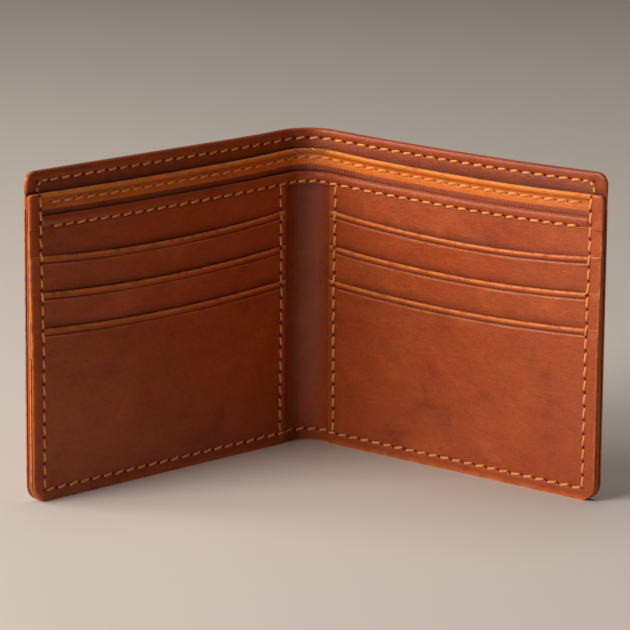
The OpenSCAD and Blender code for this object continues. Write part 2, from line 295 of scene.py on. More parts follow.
ROW_STEP, INNER_STEP, SIDE_STEP = 4.3, 3.65, {"left": 3.72, "right": 3.9}
ROW_HOLES = holes_between(0, SIDE_S, ROW_STEP)
SIDE_HOLES = {side: holes_between(BOTTOM_SEAM_Z, HEM_SEAM_Z, step)
              for side, step in SIDE_STEP.items()}
INNER_HOLES = holes_between(BOTTOM_SEAM_Z, PANEL_SEAM_Z, INNER_STEP)
ROW_PITCH = ROW_HOLES[1] - ROW_HOLES[0]
NO_SEAM = (0, 50, 4)             # what seam_map starts from: hole count, distance and pitch
CHANNEL, CHANNEL_WIDTH = 0.10, 0.75
PIT, PIT_WIDTH = 0.16, 0.42


def seam_map(s, z, rows, uprights):
    """For each point the nearest seam: how many holes along it, how far away in millimetres,
    and its pitch. rows are (height, far end); uprights are (place, holes)."""
    best = np.stack([s * 0 + value for value in NO_SEAM], -1)
    for height, far in rows:
        away = np.hypot(z - height, np.maximum(s - far, 0))
        found = np.stack([s / ROW_PITCH, away, s * 0 + ROW_PITCH], -1)
        best = np.where((away < best[..., 1])[..., None], found, best)
    for place, holes in uprights:
        pitch = holes[1] - holes[0]
        off_end = np.maximum(np.maximum(holes[0] - z, z - holes[-1]), 0)
        away = np.hypot(s - place, off_end)
        found = np.stack([(z - holes[0]) / pitch, away, s * 0 + pitch], -1)
        best = np.where((away < best[..., 1])[..., None], found, best)
    return best


def seam_dent(seams):
    """How far the thread pulls the leather in: a soft channel along the seam, and a small pit
    round each needle hole."""
    along = (np.abs((seams[..., 0] + 0.5) % 1 - 0.5)) * seams[..., 2]
    channel = CHANNEL * np.exp(-(seams[..., 1] / CHANNEL_WIDTH) ** 2)
    pit = PIT * np.exp(-(along ** 2 + seams[..., 1] ** 2) / PIT_WIDTH ** 2)
    return channel + pit


# ---------------------------------------------------------------- sheets

def sheet(name, side, group, s, t, back, front, rows=(), uprights=(), top=None,
          r_low=0.0, r_high=0.0, round_start=False, rim=(FLUSH, FLUSH), dent_both=True,
          squeeze=(8.0, 6.0), wear_and_highlight=None, shade=None, dip=None):
    """A sheet cut to s[0]..s[-1] and t[0]..t[-1] or up to the curve top(s), with round free
    corners. Each point's distance d from the outline rounds its faces off as quarter circles of
    the two radii rim, for the back and the front, each a number or a function of z; back and
    front give its two depths as functions of (s, z). Seams dent the front, or both faces."""
    low, high, end = t[0], t[-1], s[-1]
    crown = np.full_like(s, high) if top is None else top(s)
    into = lambda r: r - np.sqrt(np.maximum(r * r - np.maximum(s - (end - r), 0) ** 2, 0))
    floor, roof = low + into(r_low), crown - into(r_high)
    S, T = np.meshgrid(s, t, indexing="ij")
    a, b = low + squeeze[0], high - squeeze[1]
    lo, hi = floor[:, None], roof[:, None]
    Z = np.where(T < a, lo + (T - low) * (a - lo) / (a - low),
                 np.where(T > b, b + (T - b) * (hi - b) / (high - b), T))
    slope = np.gradient(crown, s)[:, None]
    d = np.minimum(np.minimum(Z - low, (crown[:, None] - Z) / np.sqrt(1 + slope ** 2)), end - S)
    for r, corner in ((r_low, (low + r_low) - Z), (r_high, Z - (crown[:, None] - r_high))):
        beside = S - (end - r)
        inside = (beside > 0) & (corner > 0) & (r > 0)
        d = np.where(inside, np.minimum(d, r - np.hypot(beside, corner)), d)
    if round_start:
        d = np.minimum(d, S - s[0])
    d = np.maximum(d, 0)
    seams = seam_map(S, Z, rows, uprights)
    dent = seam_dent(seams)
    v_front, v_back = front(S, Z), back(S, Z)
    if dip is not None:
        v_front, v_back = v_front - dip(S, Z), v_back - 0.6 * dip(S, Z)
    thick = v_front - v_back
    radii = [r(Z) if callable(r) else r + 0 * Z for r in rim]
    full = [np.clip(r / FULL_RIM, 0, 1) for r in radii]
    lost = [thick * 0.96 * (k / (sum(full) + 1e-6)) * k
            * (1 - np.sqrt(np.maximum(1 - (1 - np.clip(d / r, 0, 1)) ** 2, 0)))
            for r, k in zip(radii, full)]
    off_edge = np.clip(d / 0.4, 0, 1)
    v_front = v_front - lost[1] - dent * off_edge
    v_back = v_back + lost[0] + (dent if dent_both else 0) * off_edge
    # Cut edges are paler because they are burnished; a layer's own extra share adds painted highlights where it
    # gives them, on pocket beads and lips.
    paler_share = 0.75 * np.exp(-(d / 0.45) ** 2)
    extra = 0 if wear_and_highlight is None else wear_and_highlight(S, Z)
    # Painted shade: how far the tone is darkened where the layer's shade function puts shade.
    dark = 0 * S if shade is None else np.clip(shade(S, Z), 0, 1)
    facts = {"wear_and_highlight": [np.clip(paler_share + extra, 0, 1), np.clip(paler_share + np.minimum(extra, 0), 0, 1)],
             "shade": [dark, 0 * S],
             "stitch": [seams, seams]}
    return shell(name, side, group, (S, Z, v_front), (S, Z, v_back), facts, not round_start)


def level(value):
    """The same depth everywhere."""
    return lambda s, z: s * 0 + value


def bare_above(height, radius):
    """A rim radius for a layer that another one covers up to height: small under it, so that the
    stack's free edge is flush, and full above it."""
    return lambda z: FLUSH + (radius - FLUSH) * ease(z, height - 0.2, height + 0.5)


def level_edge(height):
    """A top edge at one height."""
    return lambda s: height + 0 * s


def above(edge, reach):
    """A weight just above another layer's top edge that fades out over reach: it places painted shade there, and a
    pocket's dip.
    """
    return lambda s, z: np.exp(-np.maximum(z - edge(s), 0) / reach) * (z > edge(s) - 3)


def pillow(x, a, b):
    """A soft ridge between a and b, highest in the middle, where leather is held down by a seam
    on one side and rolls over at its edge on the other."""
    return np.sin(np.pi * np.clip((x - a) / (b - a), 0, 1)) ** 0.75


# ---------------------------------------------------------------- the layers

PIECES = {}


def keep(key, made, slot, *nodes):
    """Hides the frame's solids that a finished piece stands for and keeps the piece under key; slot is not used.
    """
    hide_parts(*nodes)
    PIECES[key] = made
    return made


def both(side, node):
    """The two solids of a layer that runs on over the spine."""
    return f"{side}_{node}", f"spine_{node}"


def cover(side):
    """The outer leather, with its top edge turned over to the inside as a hem: the front depth
    steps up above the hem's lower edge, and the top edge is a fold."""
    upright = SIDE_HOLES[side]
    around = (ROW_HOLES[:, None] + AROUND_HOLE).ravel()
    s = lines(0, FREE, 1.4, START, around, FREE - CORNER,
              SIDE_S + np.array([-.5, -.25, 0, .25, .5]))
    edge_rows = np.concatenate([EDGE, HEIGHT - EDGE, BOTTOM_SEAM_Z + AROUND_HOLE,
                                HEM_SEAM_Z + AROUND_HOLE, HEM_Z + np.linspace(-.3, .5, 7)])
    t = lines(0, HEIGHT, 1.6, edge_rows,
              (upright[:, None] + np.array([-.4, -.2, 0, .2, .4])).ravel())

    def front(s, z):
        waves = 0.05 * np.sin(s / 7.3 + 1.1) * np.sin(s / 17.0)
        hem = ease(z, HEM_Z - 0.1, HEM_Z + 0.22)
        fold = 0.44 * np.maximum(pillow(z, HEM_SEAM_Z, HEIGHT),
                                 pillow(s, SIDE_S, FREE) * ease(z, EAR_TOP, EAR_TOP + 1))
        return COVER_FRONT + (HEM_FRONT - COVER_FRONT) * hem + fold + waves * hem

    def back(s, z):
        margin = 0.16 * ease(s, SIDE_S + 0.7, SIDE_S + 1.8)
        top = 0.12 * ease(z, HEM_SEAM_Z + 0.7, HEM_SEAM_Z + 1.6)
        foot = 0.12 * ease(-z, -BOTTOM_SEAM_Z + 0.7, -BOTTOM_SEAM_Z + 1.8)
        from_seam = np.minimum(np.minimum(z - BOTTOM_SEAM_Z, HEM_SEAM_Z - z), SIDE_S - s)
        inside = 0.10 * ease(from_seam, 0.7, 3)
        return COVER_BACK - np.maximum(np.maximum(margin, top), np.maximum(foot, inside)) + 0.05

    # Painted shade on the hem just above the divider's top, fading upwards, below the hem's stitches.
    def shade(s, z):
        return 0.8 * above(level_edge(EAR_TOP), 1.5)(s, z) * (z < HEM_SEAM_Z)

    made = sheet(f"{side}_cover_leather", side, "cover", s, t, back, front,
                 wear_and_highlight=lambda s, z: -0.6 * ease(z, HEIGHT - 1.6, HEIGHT - 0.6),
                 shade=shade,
                 rows=[(BOTTOM_SEAM_Z, SIDE_S), (HEM_SEAM_Z, SIDE_S)], uprights=[(SIDE_S, upright)],
                 r_low=BOTTOM_CORNER, r_high=TOP_CORNER, rim=(0.65, bare_above(EAR_TOP, 0.6)))
    return keep(f"{side}_cover", made, "cover_leather", *both(side, "cover"))


def lining(side):
    """The fabric glued inside the cover, up to the hem."""
    s = lines(0, FREE - 0.25, 2.0, START, FREE - 0.25 - CORNER)
    t = lines(0.3, HEM_Z, 2.5, EDGE, HEM_Z - EDGE)
    made = sheet(f"{side}_cover_lining", side, "cover", s, t, level(COVER_FRONT + 0.002),
                 level(LINING[1][2]), r_low=BOTTOM_CORNER - 0.2)
    return keep(f"{side}_lining", made, "lining_fabric", *both(side, "lining"))


def divider(side):
    """The bill divider. Its front carries a fine pricked row just under the binding."""
    s = lines(0, FREE, 1.0, START, FREE - CORNER, SIDE_S + np.array([-.4, 0, .4]))
    t = lines(0, DIVIDER[1][1], 3.0, EDGE, DIVIDER[1][1] - EDGE, BOTTOM_SEAM_Z,
              BINDING[0][1] - np.array([0, .5, 1., 1.6, 2.4]))
    made = sheet(f"{side}_bill_divider", side, "divider", s, t,
                 level(DIVIDER[0][2]), level(DIVIDER[1][2]),
                 # Painted shade just above the panel's top edge, in the gap between divider and panel; the band is
                 # wider on the left wing, which faces away from the light.
                 shade=above(level_edge(PANEL_TOP), {"left": 1.2, "right": 0.55}[side]),
                 r_low=BOTTOM_CORNER, r_high=EAR_CORNER, rim=(0.08, 0.08))
    return keep(f"{side}_divider", made, "divider_leather", *both(side, "divider"))


def binding(side):
    """The strip folded over the divider's top: a profile that goes up the back leg, over a full
    rolled top and down the front leg, carried along the divider; slanted pleats gather the roll
    at the spine."""
    end = SIDE_S - THREAD_W * 0.6
    fine = np.arange(0, 10.5, 0.16)
    s = lines(0, end, 0.9, START, fine, end - EDGE, (ROW_HOLES[:, None] + AROUND_HOLE).ravel())
    low, top = BINDING[0][1], BINDING[1][1]
    back, front, thick = BINDING[0][2], BINDING[1][2], DIVIDER[0][2] - BINDING[0][2]
    leg = top - low
    up = np.array([0, .04, .1, .2, .45, .8, 1.3, 1.75, 2.05, 2.2, 2.35, 2.6, 2.8, 2.95, 3.1,
                   3.25, 3.45, 3.65])
    up = np.concatenate([up[up < leg - ROLL - 0.05], [leg - ROLL]])
    roll = np.linspace(0, math.pi, 17)[1:-1]
    half = (front - back) / 2 + 0.16
    centre = (front + back) / 2 + 0.06
    z = np.concatenate([low + up, top - ROLL + ROLL * np.sin(roll), (low + up)[::-1]])
    v = np.concatenate([back + 0 * up, centre - half * np.cos(roll), front + 0 * up[::-1]])
    face = np.concatenate([0 * up, 0 * roll, 1 + 0 * up])
    bulge = 0.30 * np.exp(-((z - (top - 0.72)) / 0.62) ** 4)
    v = v + np.where(np.arange(len(z)) >= len(up) + 8, bulge, -0.4 * bulge)
    lower = np.exp(-((z - low) / 0.1) ** 2)
    inner_z = np.where(z > top - ROLL, top - ROLL + (z - top + ROLL) * 0.72, z)
    S, Z = np.meshgrid(s, z, indexing="ij")
    V = np.broadcast_to(v, S.shape)
    across = SIDES[side] * S
    gather = np.exp(-(np.maximum(np.abs(across - 1.0) - 4.5, 0) / 2.2) ** 2)
    near_top = np.exp(-((Z - (top - 0.6)) / 0.85) ** 2)
    slant = across / 1.25 + (Z - top) * 0.9 + 0.35 * np.sin(S * 1.3 + 0.5)
    ridge = np.abs(np.sin(np.pi * slant)) ** 0.7
    pleat = 0.32 * gather * near_top * (ridge - 0.75)
    seams = seam_map(S, Z, [(DIVIDER_SEAM_Z, end)], [])
    sunk = seam_dent(seams) * 1.2 * face[None, :]
    to_end = np.clip((end - S) / 0.35, 0, 1)
    taper = np.sqrt(to_end * (2 - to_end))
    out_v = V + np.sign(V - centre) * pleat - sunk
    out_v = centre + (out_v - centre) * (0.6 + 0.4 * taper)
    out_z = Z + np.where(Z > top - 0.75, 0.5 * pleat, 0)
    in_v = centre + (V - centre) - np.sign(V - centre) * (thick - 0.02)
    in_z = np.broadcast_to(inner_z, S.shape)
    # A paler top to the roll: a painted highlight where the roll faces up, partly rubbed wear; the lower cut edge
    # is paler because it is burnished.
    rolled = np.exp(-((Z - top) / 0.9) ** 2)
    # Painted shade in the groove under the roll and in the valleys between the pleats.
    under_roll = 0.65 * np.exp(-((Z - (top - 1.6)) / 0.3) ** 2) * face
    in_pleats = 1.8 * gather * near_top * (1 - ridge) * (Z > top - 1.5)
    facts = {"wear_and_highlight": [np.clip(rolled * 0.9 + lower[None, :] * 0.8, 0, 1), rolled * 0],
             "shade": [np.clip(under_roll + in_pleats, 0, 1), 0 * S],
             "stitch": [seams, seams]}
    made = shell(f"{side}_divider_edge_binding", side, "divider",
                 (S, out_z, out_v), (S, in_z, in_v), facts, True)
    return keep(f"{side}_binding", made, "binding_leather", *both(side, "divider_binding"))


def panel(side):
    """The panel that carries the pockets: cut lower between the seams with an ear along the
    free edge, and its top turned over to the front in a band."""
    upright = SIDE_HOLES[side]
    shoulder = SIDE_S - THREAD_W / 2
    around = (ROW_HOLES[:, None] + AROUND_HOLE).ravel()
    s = lines(0, FREE, 1.4, START, around, FREE - CORNER, shoulder + np.linspace(-1.1, 0.5, 14))
    t = lines(0, PANEL_TOP, 2.2, EDGE, PANEL_TOP - EDGE, PANEL_TOP - np.arange(.3, 1.6, .2),
              BAND_Z + np.array([-.3, -.02, .03, .08, .3]), PANEL_SEAM_Z + AROUND_HOLE,
              BOTTOM_SEAM_Z + AROUND_HOLE,
              (upright[upright < BAND_Z][:, None] + np.array([-.3, 0, .3])).ravel())

    def top(s):
        return PANEL_TOP + (EAR_TOP - PANEL_TOP) * ease(s, shoulder - 0.55, shoulder + 0.1)

    def front(s, z):
        below = top(s) - z
        ear = ease(s, shoulder - 0.4, shoulder + 0.2)
        band = ease(z, BAND_Z - 0.02, BAND_Z + 0.08)
        roll = np.maximum(0.46 * pillow(below, 0, PANEL_TOP - PANEL_SEAM_Z) * (1 - ear),
                          SIDE_WELT * pillow(s, SIDE_S, FREE))
        return PANEL_FRONT + (BAND_FRONT - PANEL_FRONT) * band + roll

    # Painted shade over the spine's recess below the band, deeper towards the top and towards the left wing, and a
    # painted shadow along the band's lower edge.
    def shade(s, z):
        recess = (0.16 + 0.36 * ease(z, 8, 60) - 0.1 * ease(s * SIDES[side], -2, 6)
                  + 0.45 * np.exp(-np.maximum(BAND_Z - z, 0) / 0.9))
        return (recess * (1 - ease(s, POCKET_S - 1.5, POCKET_S + 0.5))
                * (1 - ease(z, BAND_Z - .15, BAND_Z + .1)))

    made = sheet(f"{side}_pocket_panel_leather", side, "panel", s, t, level(PANEL_BACK), front,
                 rows=[(BOTTOM_SEAM_Z, SIDE_S), (PANEL_SEAM_Z, SIDE_S - 0.6)],
                 uprights=[(SIDE_S, upright)], top=top, r_low=BOTTOM_CORNER, r_high=EAR_CORNER,
                 rim=(FLUSH, bare_above(BAND_Z, 0.6)), dent_both=False,
                 squeeze=(8.0, PANEL_TOP - BAND_Z - 0.4), shade=shade,
                 wear_and_highlight=lambda s, z: (-0.5 * ease(z, PANEL_TOP - 1.6, PANEL_TOP - 0.6)
                                    * (s < shoulder)))
    return keep(f"{side}_panel", made, "pocket_leather", *both(side, "pocket_panel"))


def backing(side):
    """The leather between the pockets and the panel, below the band."""
    s = lines(POCKET_S, FREE, 1.2, POCKET_S + EDGE, FREE - CORNER, INNER_S + AROUND_HOLE[1:-1],
              SIDE_S + AROUND_HOLE[1:-1])
    fine = np.concatenate([INNER_HOLES, SIDE_HOLES[side]])
    t = lines(0, BAND_Z, 2.2, EDGE, BAND_Z - EDGE[:4],
              (fine[:, None] + np.array([-.3, 0, .3])).ravel())

    def front(s, z):
        return (BACKING[1][2] + SIDE_WELT * pillow(s, SIDE_S, FREE)
                + INNER_WELT * pillow(s, POCKET_S, INNER_S))

    made = sheet(f"{side}_pocket_backing_leather", side, "panel", s, t, level(BACKING[0][2] + 0.001),
                 front, uprights=[(INNER_S, INNER_HOLES), (SIDE_S, SIDE_HOLES[side])],
                 r_low=BOTTOM_CORNER, round_start=True, rim=(FLUSH, 0.08), dent_both=False,
                 wear_and_highlight=lambda s, z: -ease(z, BAND_Z - 1.2, BAND_Z - 0.4),
                 # Painted shade just above the top pocket's edge, where its mouth stands off the backing.
                 shade=lambda s, z: 0.8 * above(pocket_curve(0), 0.9)(s, z)
                 * (1 - ease(s, SIDE_S - 0.5, SIDE_S + 0.3)))
    return keep(f"{side}_backing", made, "pocket_leather", f"{side}_pocket_backing")


def pocket_curve(i):
    """A pocket's top edge: its height less an arc that dips by POCKET_DIP between the ends."""
    mid, span = (POCKET_S + FREE) / 2, FREE - POCKET_S
    return lambda s: POCKET_TOPS[i] - POCKET_DIP * np.clip(1 - (2 * (s - mid) / span) ** 2, 0, 1)


def pocket(side, i, word):
    """A card pocket. Below its top edge comes a rolled bead, half an ellipse high and BEAD tall,
    then a creased line with a raised lip; the mouth stands a little off the leather behind it
    between the seams, and leather just above the next pocket's edge dips under it."""
    (s0, low, v0), (s1, high, v1) = POCKETS[i]
    top = pocket_curve(i)
    upright = SIDE_HOLES[side]
    around = (ROW_HOLES[:, None] + AROUND_HOLE).ravel() if low == 0 else np.zeros(0)
    s = lines(s0, s1, 1.1, s0 + EDGE, s1 - CORNER, INNER_S + AROUND_HOLE, SIDE_S + AROUND_HOLE,
              around)
    bead_rows = high - np.concatenate([np.linspace(0.05, 2.6, 26), [2.9, 3.4, 4.2]])
    fine = np.concatenate([INNER_HOLES, upright])
    t = lines(low, high, 1.8, low + EDGE[:4], bead_rows,
              BOTTOM_SEAM_Z + AROUND_HOLE if low == 0 else 0,
              (fine[fine < high - 4.4][:, None] + np.array([-.35, 0, .35])).ravel())

    def welt(s):
        return SIDE_WELT * pillow(s, SIDE_S, s1) + INNER_WELT * pillow(s, s0, INNER_S)

    def sewn(s):
        return ease(s, INNER_S + 0.4, INNER_S + 5) * (1 - ease(s, SIDE_S - 5, SIDE_S - 0.4))

    def front(s, z):
        below = top(s) - z
        margin = ease(s, SIDE_S - 0.5, SIDE_S + 0.35)
        near = (0.3 + 0.7 * ease(s, INNER_S - 0.2, INNER_S + 1.0)) * (1 - margin)
        bead = 0.42 * np.sqrt(np.clip(1 - ((below - BEAD * 0.46) / (BEAD * 0.56)) ** 2, 0, 1))
        groove = 0.17 * np.exp(-((below - CREASE + 0.1) / 0.26) ** 2)
        lip = 0.09 * np.exp(-((below - CREASE - 0.32) / 0.2) ** 2)
        thinned = (v1 - v0) * (0.85 if i else 0.35) * margin * (1 - ease(below, 0, 3.0))
        foot = 0
        if low == 0:
            foot = 0.26 * pillow(z, 0, BOTTOM_SEAM_Z) - 0.4 * (1 - ease(z, 0.3, 4.5))
        return v1 + (bead - groove + lip) * near - thinned + mouth(s, z) + foot + welt(s)

    # Painted shade in the creased groove under the bead, and painted shade just above the next pocket's edge,
    # where that pocket's mouth stands off this one.
    def shade(s, z):
        groove = 0.75 * np.exp(-((top(s) - z - CREASE + 0.1) / 0.24) ** 2)
        behind = 0 if i == 2 else 0.8 * above(pocket_curve(i + 1), 0.9)(s, z)
        return (groove + behind) * (1 - ease(s, SIDE_S - 0.5, SIDE_S + 0.3))

    def mouth(s, z):
        width = np.sin(np.pi * np.clip((s - INNER_S) / (SIDE_S - INNER_S), 0, 1))
        fade = np.exp(-np.maximum(top(s) - z, 0) / 5.0)
        return MOUTH[i] * width ** 0.6 * fade * sewn(s)

    def dip(s, z):
        return 0.16 * sewn(s) * above(pocket_curve(i + 1), 1.3)(s, z)

    # Paler bead and lip: the bead is partly burnished wear and partly a painted highlight on its rounded top, and
    # the lip is a painted highlight along its ridge.
    def wear_and_highlight(s, z):
        below = top(s) - z
        bead = 0.62 * np.exp(-(np.maximum(below - 0.5, 0) / 0.35) ** 2)
        lip = 0.75 * np.exp(-((below - CREASE - 0.32) / 0.17) ** 2)
        return (bead + lip) * (1 - ease(s, SIDE_S - 0.4, SIDE_S + 0.4))

    made = sheet(f"{side}_{word}_pocket_leather", side, "panel", s, t,
                 lambda s, z: v0 + 0.001 + mouth(s, z), front, top=top,
                 rows=[(BOTTOM_SEAM_Z, SIDE_S)] if low == 0 else [],
                 uprights=[(INNER_S, INNER_HOLES), (SIDE_S, upright)],
                 r_low=BOTTOM_CORNER if low == 0 else 0.0, round_start=True,
                 rim=(FLUSH, 0.55 if i == 2 else bare_above(POCKET_TOPS[i + 1], 0.5)),
                 dent_both=False, squeeze=(6.0, 5.0), shade=shade, wear_and_highlight=wear_and_highlight,
                 dip=None if i == 2 else dip)
    return keep(f"{side}_{word}_pocket", made, "pocket_leather", f"{side}_{word}_pocket")


def tail(side, i, word):
    """The fabric tail that holds the foot of the cards."""
    (s0, low, v0), (s1, high, v1) = TAILS[i]
    s, t = lines(s0, s1, 3.0, s0 + EDGE[:3], s1 - EDGE[:3]), lines(low, high, 3.0, low + EDGE[:3])
    made = sheet(f"{side}_{word}_pocket_fabric_tail", side, "panel", s, t, level(v0 + 0.002),
                 level(v1 - 0.002), round_start=True)
    return keep(f"{side}_{word}_tail", made, "tail_fabric", f"{side}_{word}_pocket_tail")


# ---------------------------------------------------------------- stitching

def inside_depth(s, z):
    """Depth of the frontmost layer inside a wing: each layer's step is added as z falls below
    its top edge."""
    v = HEM_FRONT + (BAND_FRONT - HEM_FRONT) * (1 - ease(z, EAR_TOP - 0.2, EAR_TOP + 0.3))
    last = BAND_FRONT
    for i in range(3):
        below = 1 - ease(z, POCKET_TOPS[i] - 0.5, POCKET_TOPS[i] + 0.4)
        v = v + (POCKET_FRONTS[i] - last) * below
        last = POCKET_FRONTS[i]
    stack = ease(s, POCKET_S - 0.1, POCKET_S + 0.4)
    on_spine = np.where(z > BAND_Z, v, PANEL_FRONT)
    return on_spine + (v - on_spine) * stack


THREAD_HALF = THREAD_W * 0.56    # half the width of a stitch, a little full of the CAD's
THREAD_RISE = 0.27               # half a stitch's height off the leather
CLEAR, DIVE = 0.02, 0.42         # how far its middle line stands off, and sinks at each end


def stitches(name, side, runs):
    """Rows of stitches. Each run is (holes as (s, z) pairs, depth function, facing, lean, group,
    share): a stitch goes from hole to hole, turned by lean; it is a short rod of oval section
    whose middle line stands above the leather and dives into it at both ends."""
    rings, around = 7, 8
    tau = np.linspace(-1, 1, rings)[None, :, None]
    q = (np.arange(around) * 2 * math.pi / around)[None, None, :]
    shape = np.sqrt(1 - 0.93 * np.abs(tau) ** 5)
    points, strand, used = [], [], 0
    quads, tris = [], []
    rng = np.random.default_rng(sum(map(ord, name)))
    for holes, depth, facing, lean, group, share in runs:
        a, b = holes[:-1], holes[1:]
        n = len(a)
        middle, reach = (a + b) / 2, b - a
        size = np.hypot(*reach.T)
        turn = np.arctan2(reach[:, 1], reach[:, 0]) + lean + rng.normal(0, 0.035, n)
        long = size * share * (1 + rng.normal(0, 0.03, n))
        wide = THREAD_HALF * (1 + rng.normal(0, 0.05, n))[:, None, None]
        cos, sin = np.cos(turn)[:, None, None], np.sin(turn)[:, None, None]
        half = (long / 2)[:, None, None]
        across = wide * np.cos(q) * shape
        rise = THREAD_RISE * np.sin(q) * shape
        s = middle[:, :1, None] + tau * half * cos - across * sin
        z = middle[:, 1:, None] + tau * half * sin + across * cos
        line_s = middle[:, :1, None] + tau * half * cos + 0 * q
        line_z = middle[:, 1:, None] + tau * half * sin + 0 * q
        base = depth(line_s, line_z)
        v = base + facing * (CLEAR + rise - DIVE * np.abs(tau) ** 6)
        s = np.abs(s)
        ring_points = lay(side, group, s, z, v)
        pole_v = base[:, [0, -1], 0] + facing * (CLEAR - DIVE)
        pole = lay(side, group, np.abs(line_s[:, [0, -1], 0]), line_z[:, [0, -1], 0], pole_v)
        points.append(np.concatenate([ring_points.reshape(n, -1, 3), pole], 1).reshape(-1, 3))
        dice = rng.random(n)[:, None, None] + 0 * tau + 0 * q
        along = tau * half + 0 * q
        rings_wrap = np.stack([along, 0 * along + q / (2 * math.pi), dice], -1)
        tips = along[:, [0, -1], 0]
        tips_wrap = np.stack([tips, tips * 0, dice[:, [0, -1], 0]], -1)
        wrap = np.concatenate([rings_wrap.reshape(n, -1, 3), tips_wrap], 1)
        strand.append(wrap.reshape(-1, 3))
        block = rings * around + 2
        start = used + np.arange(n)[:, None, None] * block
        i, j = np.meshgrid(np.arange(rings - 1), np.arange(around), indexing="ij")
        k, nxt = i * around + j, i * around + (j + 1) % around
        ring_quads = np.stack([k, nxt, nxt + around, k + around], -1).reshape(1, -1, 4)
        quads.append((start + ring_quads).reshape(-1, 4))
        j = np.arange(around)
        first = np.stack([(j + 1) % around, j, j * 0 + rings * around], -1)
        base_last = (rings - 1) * around
        last = np.stack([base_last + j, base_last + (j + 1) % around,
                         j * 0 + rings * around + 1], -1)
        tris.append((start + np.concatenate([first, last])[None]).reshape(-1, 3))
        used += n * block
    return make_object(name, np.concatenate(points), np.concatenate(quads), np.concatenate(tris),
                       vectors={"strand": np.concatenate(strand)})


ROW_LEAN, UP_LEAN = math.radians(10.5), math.radians(8.5)
SHARE = 0.81                     # a stitch's length as a share of its holes' spacing
UPRIGHT_SHARE = SHARE + 0.05
DIVIDER_SHARE = 0.74


def row(height, far=None):
    """Holes of a level row from the spine's centre to the side seam, or to the hole before far."""
    s = ROW_HOLES if far is None else ROW_HOLES[ROW_HOLES < far]
    return np.stack([s, s * 0 + height], 1)


def turned_corner(side):
    """Holes of the cover's top seam: up past the divider, round the corner and along the hem."""
    corner = np.array([[SIDE_S, EAR_TOP - 0.15], [SIDE_S - 0.1, HEM_SEAM_Z - 1.25],
                       [SIDE_S - 1.65, HEM_SEAM_Z + 0.05]])
    level_row = ROW_HOLES[::-1][1:]
    return np.concatenate([corner, np.stack([level_row, level_row * 0 + HEM_SEAM_Z], 1)])


def stitching(side):
    """All the rows of thread on one side of the spine's centre line."""
    lean = ROW_LEAN * SIDES[side]
    sides = SIDE_HOLES[side]
    lower = sides[sides < EAR_TOP - 0.2]
    up_holes = np.stack([lower * 0 + SIDE_S, lower], 1)
    inner = np.stack([INNER_HOLES * 0 + INNER_S, INNER_HOLES], 1)
    outside = level(COVER_BACK + 0.08)
    hem = turned_corner(side)
    full_side = np.stack([sides * 0 + SIDE_S, sides], 1)
    made = stitches(f"{side}_perimeter_stitching", side, [
        (row(BOTTOM_SEAM_Z), inside_depth, 1, lean, "panel", SHARE),
        (up_holes, inside_depth, 1, -UP_LEAN, "panel", UPRIGHT_SHARE),
        (row(BOTTOM_SEAM_Z), outside, -1, lean, "cover", SHARE),
        (full_side[:-1], outside, -1, UP_LEAN, "cover", SHARE)])
    keep(f"{side}_perimeter", made, "thread", *both(side, "perimeter_thread"))
    made = stitches(f"{side}_hem_stitching", side, [
        (hem, level(HEM_FRONT), 1, lean, "cover", SHARE),
        (hem, outside, -1, -lean, "cover", SHARE)])
    keep(f"{side}_hem", made, "thread", *both(side, "hem_thread"))
    made = stitches(f"{side}_divider_stitching", side, [
        (row(DIVIDER_SEAM_Z, SIDE_S - 1.5), level(BINDING[1][2]), 1, lean, "divider",
         DIVIDER_SHARE)])
    keep(f"{side}_divider_seam", made, "thread", *both(side, "divider_thread"))
    made = stitches(f"{side}_panel_stitching", side, [
        (row(PANEL_SEAM_Z, SIDE_S - 0.8), level(BAND_FRONT), 1, lean, "panel", SHARE)])
    keep(f"{side}_panel_seam", made, "thread", *both(side, "panel_thread"))
    made = stitches(f"{side}_pocket_stitching", side, [
        (inner, inside_depth, 1, -UP_LEAN, "panel", UPRIGHT_SHARE)])
    keep(f"{side}_pocket_seam", made, "thread", f"{side}_pocket_thread")


for which in SIDES:
    cover(which)
    lining(which)
    divider(which)
    binding(which)
    panel(which)
    backing(which)
    for number, word in enumerate(("top", "middle", "bottom")):
        pocket(which, number, word)
    for number, word in enumerate(("top", "middle")):
        tail(which, number, word)
    stitching(which)

# ---------------------------------------------------------------- tied to the wings, or baked in place

BLENDED = ("cover", "lining", "divider", "binding", "panel", "perimeter", "hem",
           "divider_seam", "panel_seam")


for which in SIDES:
    for key, piece in PIECES.items():
        if not key.startswith(which + "_"):
            continue
        if key[len(which) + 1:] in BLENDED:
            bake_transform(piece)
        else:
            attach(piece, f"{which}_wing")


# ---------------------------------------------------------------- finishes

